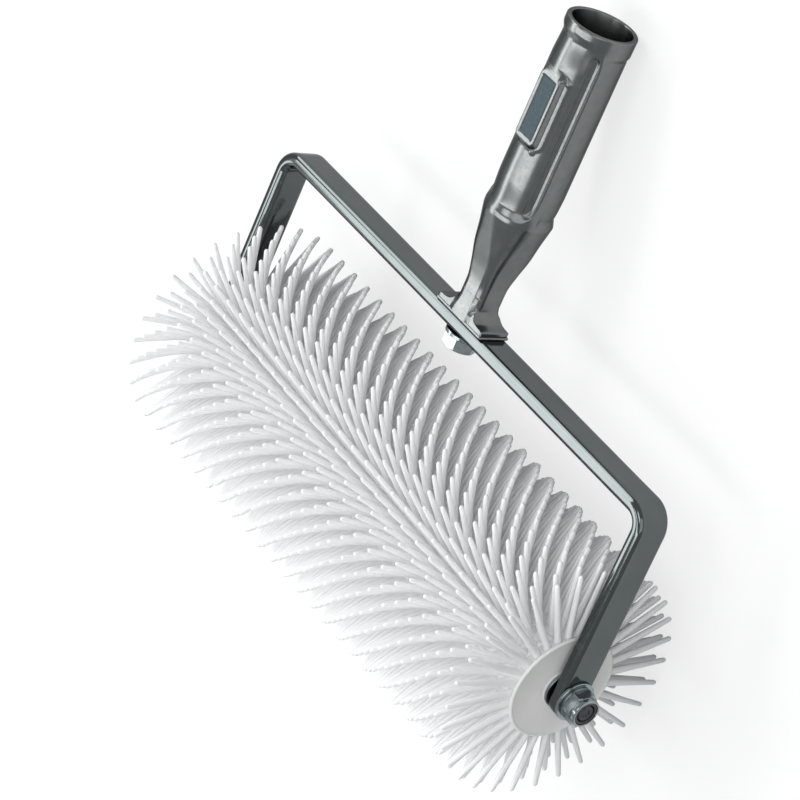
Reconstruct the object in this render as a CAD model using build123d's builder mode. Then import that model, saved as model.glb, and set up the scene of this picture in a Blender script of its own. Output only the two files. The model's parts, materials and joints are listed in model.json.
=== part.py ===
from build123d import *

import os
from math import asin, atan2, cos, degrees, hypot, pi, radians, sin

# Spiked roller for letting the air out of wet floor compound: a white spiked roller on a
# through axle, in a bow of flat steel bar, with a cast socket for a pole.
# All sizes are in millimetres. The tool lies on the floor, on its spike tips and on the
# rim of the socket's mouth. X runs along the roller, Y towards the socket, Z is up.

# Spiked roller
tip_radius = 53.5
hub_radius = 22.5
hub_wall = 3.0
row_pitch = 5.1
end_margin = 2.05
double_rings = 24
spikes_per_row = 30
spike_root_radius = 1.6
spike_tip_radius = 1.0
spike_root_depth = 0.5
last_ring_turn = -2.5
ring_turn = 0.8
roller_twist = -6.8
ring_fit = 0.1

# Core tube, end caps and bushes
core_wall = 1.4
cap_radius = 23.9
cap_flange = 0.8
cap_edge_round = 0.35
cap_rim_width = 1.5
cap_rim_height = 0.45
cap_boss_radius = 8.6
cap_boss_height = 0.3
cap_spigot_wall = 1.8
cap_spigot_length = 10.0
cap_sleeve_wall = 2.6
cap_fit = 0.1
bush_wall = 1.9
bush_length = 14.0
bush_fit = 0.1

# Axle, washers and lock nuts
axle_radius = 4.0
axle_running_gap = 0.05
axle_end_inset = 0.5
axle_end_chamfer = 0.7
hole_clearance = 0.3
thread_fit = 0.05
inner_washer_radius = 8.6
inner_washer_thickness = 1.0
end_play = 0.7
running_gap = 0.05
outer_washer_radius = 8.8
outer_washer_thickness = 1.3
spring_washer_radius = 7.3
spring_washer_thickness = 0.9
spring_washer_slit = 1.2
nut_across_flats = 13.0
nut_hex_height = 4.4
nut_collar_height = 2.2
nut_collar_radius = 6.25
nut_collar_round = 0.7
nut_insert_wall = 1.15
nut_insert_depth = 1.9
nut_insert_inset = 0.35
nut_insert_fit = 0.05
nut_turn = 10.0
corner_cut = 0.6

# Bow of flat bar
bar_width = 15.3
bar_thickness = 6.4
bar_edge_round = 2.6
bow_bend_radius = 11.5
bow_height = 87.7
leg_end_offset = 1.3

# Bolt that holds the socket casting to the bow
bolt_radius = 4.0
bolt_reach = 22.0
bolt_hole_depth = 25.0
bolt_head_across_flats = 13.0
bolt_head_height = 5.3
bolt_washer_radius = 8.0
bolt_washer_thickness = 1.6

# Socket casting
handle_length = 133.9
socket_bore_radius = 12.65
socket_depth = 65.0
socket_floor_cone = 4.0
mouth_round = 0.8
mouth_radius = 14.75
collar_height = 6.6
collar_step = 1.6
body_radius = 14.05
shoulder_height = 49.0
shoulder_radius = 14.6
shoulder_ledge = 4.8
waist_radius = 13.6
waist_run = 9.0
neck_half_width = 7.05
neck_corner_radius = 4.0
neck_top_inset = 0.3
neck_foot_height = 9.5
foot_plate_half_length = 16.3
foot_plate_thickness = 1.1
foot_plate_corner = 1.1
foot_inset = 0.9
foot_end_height = 2.9
wing_top_height = 7.4
tongue_half_width = 6.9
tongue_half_depth = 8.1
tongue_corner_radius = 2.6
channel_width = 3.9
channel_depth = 0.8
channel_angle = 57.0
channel_top_gap = 8.6
pad_offset = 0.5
pad_centre_height = 96.6
pad_width = 11.2
pad_length = 28.6
pad_radius = 2.0
pad_face = 15.3
pad_taper = 34.0
pad_border = 1.0
pad_panel_radius = 0.8
pad_recess = 0.7
lug_radius = 1.2
lug_face = 13.9
lug_offset = 5.2
lug_gap = 1.4

# Neck of the socket casting from the foot to the shoulder, as shares of the way up, of the
# growth of the half width, and of how round the section is, from square to circle
neck_shares = ((0.0, 0.0, 0.0), (0.16, 0.01, 0.03), (0.37, 0.16, 0.12), (0.57, 0.42, 0.42),
               (0.78, 0.69, 0.78), (1.0, 1.0, 1.0))
roundest_share = 0.97
# Curve of each foot wing from its tip to the neck: shares of its reach and of the foot's height
wing_shares = ((1.0, 0.0), (0.71, 0.02), (0.46, 0.09), (0.26, 0.26), (0.10, 0.52), (-0.08, 1.0))

overrun = 1.0

# Sizes that follow from the ones above
row_count = 2 * double_rings + 1
first_row_x = (row_count - 1) * row_pitch / 2
roller_half_length = first_row_x + end_margin
cap_face = roller_half_length + cap_flange + cap_boss_height
bow_inner_half = cap_face + inner_washer_thickness + end_play / 2
bow_outer_half = bow_inner_half + bar_thickness
roller_shift = running_gap - end_play / 2
ring_bore = hub_radius - hub_wall
core_radius = ring_bore - ring_fit
core_bore = core_radius - core_wall
bush_bore = axle_radius + axle_running_gap
bush_radius = bush_bore + bush_wall
cap_bore = bush_radius + bush_fit
nut_height = nut_hex_height + nut_collar_height
nut_seat = bow_outer_half + outer_washer_thickness + spring_washer_thickness
nut_face = nut_seat + nut_height
bar_underside = bow_height - bar_thickness
mouth_height = bow_height + handle_length
foot_start = bow_height
shoulder_level = bow_height + shoulder_height

# The tool leans on the mouth's rim: the slope at which rim and spike tips touch one floor
rim_reach = mouth_radius - mouth_round
rim_height = mouth_height - mouth_round
lie = asin((tip_radius - mouth_round) / hypot(rim_height, rim_reach)) - atan2(rim_reach, rim_height)
mouth_forward = rim_height * cos(lie) + rim_reach * sin(lie) + mouth_round
centre_y = (tip_radius - mouth_forward) / 2

roller_dir = Vector(1, 0, 0)
handle_dir = Vector(0, cos(lie), -sin(lie))
bar_dir = handle_dir.cross(roller_dir)
centre = Vector(0, centre_y, tip_radius)
axle_axis = Axis(centre, roller_dir)
handle_axis = Axis(centre, handle_dir)
# Planes of the tool: square to the axle, square to the handle, and the bow's own plane
axle_plane = Plane(origin=centre, x_dir=bar_dir, z_dir=roller_dir)
handle_plane = Plane(origin=centre, x_dir=roller_dir, z_dir=handle_dir)
bow_plane = Plane(origin=centre, x_dir=roller_dir, z_dir=-bar_dir)


def axle_seat(distance, side):
    """Plane square to the axle that faces outwards on side +1 or -1, at a distance."""
    origin = centre + roller_dir * (side * distance)
    return Plane(origin=origin, x_dir=bar_dir, z_dir=roller_dir * side)


def outline_plane(seat):
    """Plane of a turned outline: its first direction leaves the seat, its second is the radius."""
    return Plane(origin=seat.origin, x_dir=seat.z_dir, z_dir=seat.z_dir.cross(seat.y_dir))


def write(piece, label):
    """Label a finished piece and write its STEP file."""
    piece.label = label
    export_step(piece, f"parts/{label}.step")


os.makedirs("parts", exist_ok=True)

# One spike, pointing along X from inside the hub
with BuildPart() as spike:
    with BuildSketch(Plane.XY):
        with BuildLine():
            Polyline(
                (tip_radius, 0),
                (hub_radius - spike_root_depth, 0),
                (hub_radius - spike_root_depth, spike_root_radius),
                (tip_radius - spike_tip_radius, spike_tip_radius),
            )
            RadiusArc(
                (tip_radius - spike_tip_radius, spike_tip_radius),
                (tip_radius, 0),
                spike_tip_radius,
            )
        make_face()
    revolve(axis=Axis.X)


def spike_ring(rows, low_margin, high_margin):
    """Hub ring along Z with staggered rows of spikes, the first row at the origin.

    Under each row the hub is a many-sided prism, with one flat for each spike.
    """
    half_flat = degrees(pi) / spikes_per_row
    with BuildPart() as ring:
        for row in range(rows):
            stagger = row * half_flat
            low = low_margin if row == 0 else row_pitch / 2
            high = high_margin if row == rows - 1 else row_pitch / 2
            with BuildSketch(Plane.XY.offset(row * row_pitch - low)):
                RegularPolygon(hub_radius, spikes_per_row, major_radius=False,
                               rotation=half_flat + stagger)
                Circle(ring_bore, mode=Mode.SUBTRACT)
            extrude(amount=low + high)
            with Locations(Plane.XY.offset(row * row_pitch)):
                with PolarLocations(0, spikes_per_row, start_angle=stagger):
                    add(spike.part)
    return ring.part


# Spike rings, from the far end to the near end: double ones, then one single row
middle_margin = row_pitch / 2
ring_shapes = {
    "far end": spike_ring(2, end_margin, middle_margin),
    "middle": spike_ring(2, middle_margin, middle_margin),
    "near end": spike_ring(1, middle_margin, end_margin),
}
ring_count = double_rings + 1
for number in range(ring_count):
    last = number == ring_count - 1
    shape = "near end" if last else "middle"
    if number == 0:
        shape = "far end"
    ring_x = roller_shift - first_row_x + 2 * number * row_pitch
    twist_share = 1 - number / (ring_count - 1)
    turn = last_ring_turn if last else ring_turn + roller_twist * twist_share
    place = axle_plane.offset(ring_x).location * Location((0, 0, 0), (0, 0, turn))
    write(ring_shapes[shape].moved(place), f"spike_ring_{number + 1:02d}")

# Core tube that the rings sit on
with BuildPart() as core_tube:
    with BuildSketch(axle_plane.offset(roller_shift - roller_half_length)):
        Circle(core_radius)
        Circle(core_bore, mode=Mode.SUBTRACT)
    extrude(amount=2 * roller_half_length)
write(core_tube.part, "core_tube")


def end_cap(seat):
    """Cap that plugs into the core tube, with a rimmed flange, a boss and a bush sleeve."""
    spigot_radius = core_bore - cap_fit
    spigot_bore = spigot_radius - cap_spigot_wall
    sleeve_radius = cap_bore + cap_sleeve_wall
    rim_inside = cap_radius - cap_rim_width
    boss_top = cap_flange + cap_boss_height
    with BuildPart() as cap:
        with BuildSketch(outline_plane(seat)):
            with BuildLine():
                Polyline(
                    (boss_top, cap_bore),
                    (-bush_length, cap_bore),
                    (-bush_length, sleeve_radius),
                    (0, sleeve_radius),
                    (0, spigot_bore),
                    (-cap_spigot_length, spigot_bore),
                    (-cap_spigot_length, spigot_radius),
                    (0, spigot_radius),
                    (0, cap_radius),
                    (cap_flange - cap_edge_round, cap_radius),
                )
                ThreePointArc(
                    (cap_flange - cap_edge_round, cap_radius),
                    (cap_flange + cap_rim_height, (cap_radius + rim_inside) / 2),
                    (cap_flange, rim_inside),
                )
                Polyline(
                    (cap_flange, rim_inside),
                    (cap_flange, cap_boss_radius),
                    (boss_top, cap_boss_radius),
                    (boss_top, cap_bore),
                )
            make_face()
        revolve(axis=axle_axis)
    return cap.part


def axle_bush(seat):
    """Plain bush in a cap's sleeve, which turns on the axle."""
    with BuildPart() as bush:
        with BuildSketch(seat.offset(-bush_length)):
            Circle(bush_radius)
            Circle(bush_bore, mode=Mode.SUBTRACT)
        extrude(amount=bush_length + cap_flange)
    return bush.part


for end, side in (("near", 1), ("far", -1)):
    cap_seat = axle_seat(roller_half_length + side * roller_shift, side)
    write(end_cap(cap_seat), f"end_cap_{end}")
    write(axle_bush(cap_seat), f"axle_bush_{end}")

# Axle rod through both legs of the bow
axle_half = nut_face - axle_end_inset
with BuildPart() as axle_rod:
    with BuildSketch(axle_plane.offset(-axle_half)):
        Circle(axle_radius)
    extrude(amount=2 * axle_half)
    ends = axle_rod.edges().filter_by(GeomType.CIRCLE)
    chamfer(ends, length=axle_end_chamfer)
write(axle_rod.part, "axle_rod")

# Washers on the axle, one inside and one outside each leg
washer_bore = axle_radius + hole_clearance
with BuildPart() as inner_washers:
    for side in (1, -1):
        with BuildSketch(axle_seat(bow_inner_half - inner_washer_thickness, side)):
            Circle(inner_washer_radius)
            Circle(washer_bore, mode=Mode.SUBTRACT)
        extrude(amount=inner_washer_thickness)
write(inner_washers.part, "inner_washers")

with BuildPart() as outer_washers:
    for side in (1, -1):
        with BuildSketch(axle_seat(bow_outer_half, side)):
            Circle(outer_washer_radius)
            Circle(washer_bore, mode=Mode.SUBTRACT)
        extrude(amount=outer_washer_thickness)
write(outer_washers.part, "outer_washers")

# Spring washers, split on the side away from the handle
with BuildPart() as spring_washers:
    for side in (1, -1):
        with BuildSketch(axle_seat(bow_outer_half + outer_washer_thickness, side)):
            Circle(spring_washer_radius)
            Circle(washer_bore, mode=Mode.SUBTRACT)
            with Locations((0, -side * spring_washer_radius)):
                Rectangle(spring_washer_slit, 2 * spring_washer_radius - 2 * axle_radius,
                          mode=Mode.SUBTRACT)
        extrude(amount=spring_washer_thickness)
write(spring_washers.part, "spring_washers")


def hexagon_blank(seat, across_flats, height, turn):
    """Hexagonal block on a seat, its corners cut off in a cone at the top."""
    corner = across_flats / (2 * cos(pi / 6))
    with BuildPart() as blank:
        with BuildSketch(seat):
            RegularPolygon(across_flats / 2, 6, major_radius=False, rotation=turn)
        extrude(amount=height)
        with BuildSketch(outline_plane(seat)):
            with BuildLine():
                Polyline(
                    (0, 0),
                    (0, corner + overrun),
                    (height - corner_cut / 2, corner + overrun),
                    (height, corner - corner_cut),
                    (height, 0),
                    close=True,
                )
            make_face()
        revolve(axis=Axis(seat.origin, seat.z_dir), mode=Mode.INTERSECT)
    return blank.part


def lock_nut(seat):
    """Hexagon nut with a round collar that holds its insert."""
    blank = hexagon_blank(seat, nut_across_flats, nut_hex_height, nut_turn)
    insert_radius = axle_radius + thread_fit + nut_insert_wall + nut_insert_fit
    with BuildPart() as nut:
        add(blank)
        with BuildSketch(seat.offset(nut_hex_height - overrun)):
            Circle(nut_collar_radius)
        extrude(amount=nut_collar_height + overrun)
        top = nut.faces().sort_by(Axis(seat.origin, seat.z_dir))[-1]
        fillet(top.outer_wire().edges(), radius=nut_collar_round)
        with BuildSketch(seat):
            Circle(axle_radius + thread_fit)
        extrude(amount=nut_height, mode=Mode.SUBTRACT)
        with BuildSketch(seat.offset(nut_height - nut_insert_depth)):
            Circle(insert_radius)
        extrude(amount=nut_insert_depth, mode=Mode.SUBTRACT)
    return nut.part


nut_seats = [axle_seat(nut_seat, side) for side in (1, -1)]
nuts = [lock_nut(seat) for seat in nut_seats]
with BuildPart() as lock_nuts:
    add(nuts)
write(lock_nuts.part, "lock_nuts")

# Ring inserts that grip the axle's thread
with BuildPart() as lock_nut_inserts:
    for seat in nut_seats:
        with BuildSketch(seat.offset(nut_height - nut_insert_depth)):
            Circle(axle_radius + thread_fit + nut_insert_wall)
            Circle(axle_radius + thread_fit, mode=Mode.SUBTRACT)
        extrude(amount=nut_insert_depth - nut_insert_inset)
write(lock_nut_inserts.part, "lock_nut_inserts")

# Bow: flat bar bent round the roller, with round leg ends and three holes
bow_line_half = bow_outer_half - bar_thickness / 2
bow_line_height = bow_height - bar_thickness / 2
bow_line_bend = bow_bend_radius - bar_thickness / 2
leg_end = leg_end_offset + bar_width / 2
with BuildPart() as yoke_bow:
    with BuildLine(bow_plane):
        FilletPolyline(
            (-bow_line_half, -leg_end),
            (-bow_line_half, bow_line_height),
            (bow_line_half, bow_line_height),
            (bow_line_half, -leg_end),
            radius=bow_line_bend,
        )
    leg_foot = handle_plane.offset(-leg_end)
    leg_section = Plane(
        origin=leg_foot.origin - roller_dir * bow_line_half,
        x_dir=roller_dir,
        z_dir=handle_dir,
    )
    with BuildSketch(leg_section):
        RectangleRounded(bar_thickness, bar_width, bar_edge_round)
    sweep()
    with BuildSketch(axle_plane.offset(-bow_outer_half - overrun)):
        with Locations((0, -leg_end / 2 - leg_end_offset)):
            Rectangle(bar_width + 2 * overrun, leg_end)
        with Locations((0, -leg_end_offset)):
            Circle(bar_width / 2, mode=Mode.SUBTRACT)
    extrude(amount=2 * (bow_outer_half + overrun), mode=Mode.SUBTRACT)
    with BuildSketch(axle_plane.offset(-bow_outer_half - overrun)):
        Circle(washer_bore)
    extrude(amount=2 * (bow_outer_half + overrun), mode=Mode.SUBTRACT)
    with BuildSketch(handle_plane.offset(bar_underside - overrun)):
        Circle(bolt_radius + hole_clearance)
    extrude(amount=bar_thickness + 2 * overrun, mode=Mode.SUBTRACT)
write(yoke_bow.part, "yoke_bow")

# Bolt and washer under the bow, screwed up into the casting
bolt_seat = Plane(
    origin=centre + handle_dir * (bar_underside - bolt_washer_thickness),
    x_dir=roller_dir,
    z_dir=-handle_dir,
)
bolt_head = hexagon_blank(bolt_seat, bolt_head_across_flats, bolt_head_height, 0)
with BuildPart() as handle_bolt:
    add(bolt_head)
    with BuildSketch(handle_plane.offset(bar_underside - bolt_washer_thickness)):
        Circle(bolt_radius)
    extrude(amount=bolt_washer_thickness + bar_thickness + bolt_reach)
write(handle_bolt.part, "handle_bolt")

with BuildPart() as handle_washer:
    with BuildSketch(bolt_seat.offset(-bolt_washer_thickness)):
        Circle(bolt_washer_radius)
        Circle(bolt_radius + hole_clearance, mode=Mode.SUBTRACT)
    extrude(amount=bolt_washer_thickness)
write(handle_washer.part, "handle_washer")

# Socket casting: foot, neck, shoulder, body and mouth
neck_start = foot_start + neck_foot_height
neck_rise = shoulder_level - neck_start
collar_start = mouth_height - collar_height
body_start = shoulder_level + shoulder_ledge
socket_floor = mouth_height - socket_depth
foot_half_length = foot_plate_half_length - foot_inset
wing_reach = foot_half_length - neck_half_width
wing_rise = wing_top_height - foot_end_height
foot_tip_height = foot_start + foot_end_height
wing_curve = [
    (neck_half_width + reach * wing_reach, foot_tip_height + rise * wing_rise)
    for reach, rise in wing_shares
]
with BuildPart() as socket_handle:
    # Foot plate on the bar
    with BuildSketch(handle_plane.offset(foot_start)):
        RectangleRounded(2 * foot_plate_half_length, bar_width, foot_plate_corner)
    extrude(amount=foot_plate_thickness)
    # Wings that sweep down from the neck to the ends of the foot
    with BuildSketch(bow_plane):
        with BuildLine():
            Polyline(wing_curve[-1], (0, wing_curve[-1][1]), (0, foot_start),
                     (foot_half_length, foot_start), wing_curve[0])
            Spline(wing_curve)
        make_face()
        mirror(about=Plane.YZ)
    extrude(amount=bar_width / 2 - foot_inset / 2, both=True)
    # Tongue in front and behind, from the bar's edges up into the neck
    with BuildSketch(handle_plane.offset(foot_start)):
        RectangleRounded(2 * tongue_half_width, 2 * tongue_half_depth, tongue_corner_radius)
    with BuildSketch(handle_plane.offset(neck_start)):
        RectangleRounded(2 * neck_half_width, 2 * neck_half_width, neck_corner_radius)
    loft()
    # Neck, from a rounded square to the round shoulder
    for rise, growth, roundness in neck_shares:
        half = neck_half_width + growth * (shoulder_radius - neck_top_inset - neck_half_width)
        corner = neck_corner_radius + roundness * (roundest_share * half - neck_corner_radius)
        with BuildSketch(handle_plane.offset(neck_start + rise * neck_rise)):
            RectangleRounded(2 * half, 2 * half, corner)
    loft()
    # Body with its ledge above the shoulder, its collar and its rounded mouth
    with BuildSketch(outline_plane(handle_plane)):
        with BuildLine():
            Polyline(
                (shoulder_level, 0),
                (shoulder_level, shoulder_radius),
                (body_start, waist_radius),
                (body_start + waist_run, body_radius),
                (collar_start, body_radius),
                (collar_start + collar_step, mouth_radius),
                (mouth_height - mouth_round, mouth_radius),
            )
            RadiusArc(
                (mouth_height - mouth_round, mouth_radius),
                (mouth_height, mouth_radius - mouth_round),
                mouth_round,
            )
            Polyline(
                (mouth_height, mouth_radius - mouth_round),
                (mouth_height, 0),
                (shoulder_level, 0),
            )
        make_face()
    revolve(axis=handle_axis)
    # Long round-ended channels beside the front of the body
    channel_top = mouth_height - channel_top_gap
    channel_length = channel_top - shoulder_level - shoulder_ledge / 2
    for side in (1, -1):
        angle = side * radians(channel_angle)
        outward = roller_dir * sin(angle) - bar_dir * cos(angle)
        channel_middle = centre + handle_dir * (channel_top - channel_length / 2)
        face = Plane(
            origin=channel_middle + outward * (body_radius - channel_depth),
            x_dir=handle_dir,
            z_dir=outward,
        )
        with BuildSketch(face):
            SlotOverall(channel_length, channel_width)
        extrude(amount=channel_depth + overrun, mode=Mode.SUBTRACT)
    # Raised pad with a sunk bare panel on the front, and a small lug below it
    pad_root = body_radius * cos(asin(pad_width / (2 * body_radius))) - overrun
    pad_plane = Plane(
        origin=centre + handle_dir * (foot_start + pad_centre_height) + roller_dir * pad_offset
        - bar_dir * pad_face,
        x_dir=roller_dir,
        z_dir=bar_dir,
    )
    with BuildSketch(pad_plane):
        RectangleRounded(pad_width, pad_length, pad_radius)
    extrude(amount=pad_face - pad_root, taper=-pad_taper)
    with BuildSketch(pad_plane):
        RectangleRounded(pad_width - 2 * pad_border, pad_length - 2 * pad_border,
                         pad_panel_radius)
    extrude(amount=pad_recess, mode=Mode.SUBTRACT)
    with BuildSketch(pad_plane.offset(pad_face - lug_face)):
        with Locations((lug_offset, pad_length / 2 + lug_gap + lug_radius)):
            Circle(lug_radius)
    extrude(amount=lug_face - pad_root)
    # Pole socket with a conical floor
    with BuildSketch(outline_plane(handle_plane)):
        with BuildLine():
            Polyline(
                (mouth_height + overrun, 0),
                (mouth_height + overrun, socket_bore_radius),
                (socket_floor, socket_bore_radius),
                (socket_floor - socket_floor_cone, 0),
                close=True,
            )
        make_face()
    revolve(axis=handle_axis, mode=Mode.SUBTRACT)
    # Tapped hole for the bolt
    with BuildSketch(handle_plane.offset(foot_start - overrun)):
        Circle(bolt_radius + thread_fit)
    extrude(amount=bolt_hole_depth + overrun, mode=Mode.SUBTRACT)
write(socket_handle.part, "socket_handle")
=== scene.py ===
import json
import logging
import math
from dataclasses import dataclass, field
from enum import Enum

import bpy
import numpy as np
from mathutils import Matrix, Vector


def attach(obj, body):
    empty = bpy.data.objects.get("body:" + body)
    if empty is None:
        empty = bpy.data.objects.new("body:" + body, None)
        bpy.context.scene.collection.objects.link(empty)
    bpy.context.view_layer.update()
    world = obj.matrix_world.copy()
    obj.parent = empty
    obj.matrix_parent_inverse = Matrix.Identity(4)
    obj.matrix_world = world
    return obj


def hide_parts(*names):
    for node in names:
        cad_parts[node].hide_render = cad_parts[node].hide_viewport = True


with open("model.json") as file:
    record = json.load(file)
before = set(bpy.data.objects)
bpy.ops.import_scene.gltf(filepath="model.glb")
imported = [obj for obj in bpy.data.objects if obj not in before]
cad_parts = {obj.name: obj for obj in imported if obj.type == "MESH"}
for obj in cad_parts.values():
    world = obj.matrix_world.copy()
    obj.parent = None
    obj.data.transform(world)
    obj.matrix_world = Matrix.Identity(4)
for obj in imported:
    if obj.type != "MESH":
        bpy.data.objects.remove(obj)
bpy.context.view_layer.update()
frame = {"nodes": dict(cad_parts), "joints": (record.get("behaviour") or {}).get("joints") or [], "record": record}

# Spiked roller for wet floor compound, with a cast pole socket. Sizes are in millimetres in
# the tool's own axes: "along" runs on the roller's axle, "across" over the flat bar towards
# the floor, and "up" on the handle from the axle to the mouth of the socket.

MM = 0.001
SPIN_JOINT = "roller_spin"
SOCKET_MOUNT = "pole_socket"

logging.basicConfig(level=logging.INFO, format="%(name)s %(message)s")
log = logging.getLogger("spiked_roller")


class Body(Enum):
    """The two CAD bodies that pieces ride on."""

    FRAME = "frame"
    ROLLER = "roller"


class Slot(Enum):
    """The record's material slots that the new pieces take."""

    SPIKE = "spike_plastic"
    CAP = "cap_plastic"
    BOW = "bow_steel"
    CASTING = "cast_aluminium"
    ZINC = "zinc_steel"
    AXLE = "axle_steel"
    INSERT = "insert_nylon"


@dataclass(frozen=True)
class ToolAxes:
    """Centre and directions of the tool's own axes in the shared frame.

    Args:
        centre: middle of the axle, in metres.
        along: direction of the axle.
        across: direction over the bar's width, towards the floor.
        up: direction of the handle, from the axle to the mouth.
    """

    centre: np.ndarray
    along: np.ndarray
    across: np.ndarray
    up: np.ndarray

    @classmethod
    def from_record(cls, record: dict, joints: list) -> "ToolAxes":
        """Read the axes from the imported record.

        Args:
            record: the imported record.
            joints: the record's joints.

        Returns:
            The axes: the spin joint gives the centre, and the socket mount the handle.
        """
        spin = next(joint for joint in joints if joint["name"] == SPIN_JOINT)
        mount = next(item for item in record["mounts"] if item["name"] == SOCKET_MOUNT)
        along = np.array([1.0, 0.0, 0.0])
        up = np.array(mount["axis"], dtype=float)
        up /= np.linalg.norm(up)
        across = np.cross(up, along)
        return cls(np.array(spin["pos_m"], dtype=float), along, across, up)

    def place(self, points: np.ndarray) -> np.ndarray:
        """Points in tool millimetres (along, across, up) to metres in the shared frame."""
        basis = np.stack([self.along, self.across, self.up])
        return self.centre + MM * points @ basis


@dataclass
class Surface:
    """A closed surface as arrays: points in tool millimetres, four-sided and three-sided faces."""

    points: np.ndarray
    quads: np.ndarray
    triangles: np.ndarray
    marks: np.ndarray | None = None

    @classmethod
    def from_rows(cls, rows: np.ndarray, marks: np.ndarray | None = None) -> "Surface":
        """Close a grid of rings into a surface, with a pole at the middle of each end ring.

        A face joins each point of a ring with the next one round and with the same two points
        of the next ring; a fan of triangles joins each end ring to its own mean point.

        Args:
            rows: points as (ring, place round the ring, 3), without a repeated last place.
            marks: a finish number for each (ring, place) face, or None.

        Returns:
            The closed surface, turned outwards.
        """
        count, places = rows.shape[:2]
        index = np.arange(count * places).reshape(count, places)
        ahead = np.roll(index, -1, axis=1)
        quads = np.stack([index[:-1], ahead[:-1], ahead[1:], index[1:]], axis=-1).reshape(-1, 4)
        first, last = count * places, count * places + 1
        low = np.stack([ahead[0], index[0], np.full(places, first)], axis=-1)
        high = np.stack([index[-1], ahead[-1], np.full(places, last)], axis=-1)
        poles = [rows[:1].mean(axis=1), rows[-1:].mean(axis=1)]
        points = np.concatenate([rows.reshape(-1, 3), *poles])
        face_marks = None
        if marks is not None:
            face_marks = np.concatenate([marks[:-1].reshape(-1), np.zeros(2 * places, dtype=int)])
        return cls(points, quads, np.concatenate([low, high]), face_marks).outward()

    @classmethod
    def from_closed_rows(cls, rows: np.ndarray) -> "Surface":
        """Close a grid whose rings also join the last to the first, as on a ring with a bore.

        Args:
            rows: points as (ring, place round the ring, 3).

        Returns:
            The closed surface, turned outwards.
        """
        count, places = rows.shape[:2]
        index = np.arange(count * places).reshape(count, places)
        ahead = np.roll(index, -1, axis=1)
        under, corner = np.roll(index, -1, axis=0), np.roll(ahead, -1, axis=0)
        quads = np.stack([index, ahead, corner, under], axis=-1).reshape(-1, 4)
        return cls(rows.reshape(-1, 3), quads, np.zeros((0, 3), dtype=int)).outward()

    def all_triangles(self) -> np.ndarray:
        """Every face as triangles, each four-sided one cut in two."""
        halves = [self.quads[:, [0, 1, 2]], self.quads[:, [0, 2, 3]], self.triangles]
        return np.concatenate(halves)

    def outward(self) -> "Surface":
        """The same surface, with its faces turned so that its signed volume is above zero."""
        corners = self.points[self.all_triangles()]
        volume = np.einsum("ij,ij->i", corners[:, 0], np.cross(corners[:, 1], corners[:, 2])).sum()
        if volume < 0:
            return Surface(self.points, self.quads[:, ::-1], self.triangles[:, ::-1], self.marks)
        return self

    @staticmethod
    def joined(parts: list["Surface"]) -> "Surface":
        """Several surfaces as one, each face's numbers moved past the points before it."""
        starts = np.cumsum([0] + [len(part.points) for part in parts[:-1]])
        points = np.concatenate([part.points for part in parts])
        quads = np.concatenate([part.quads + start for part, start in zip(parts, starts)])
        triangles = np.concatenate([part.triangles + start for part, start in zip(parts, starts)])
        return Surface(points, quads, triangles)


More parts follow.
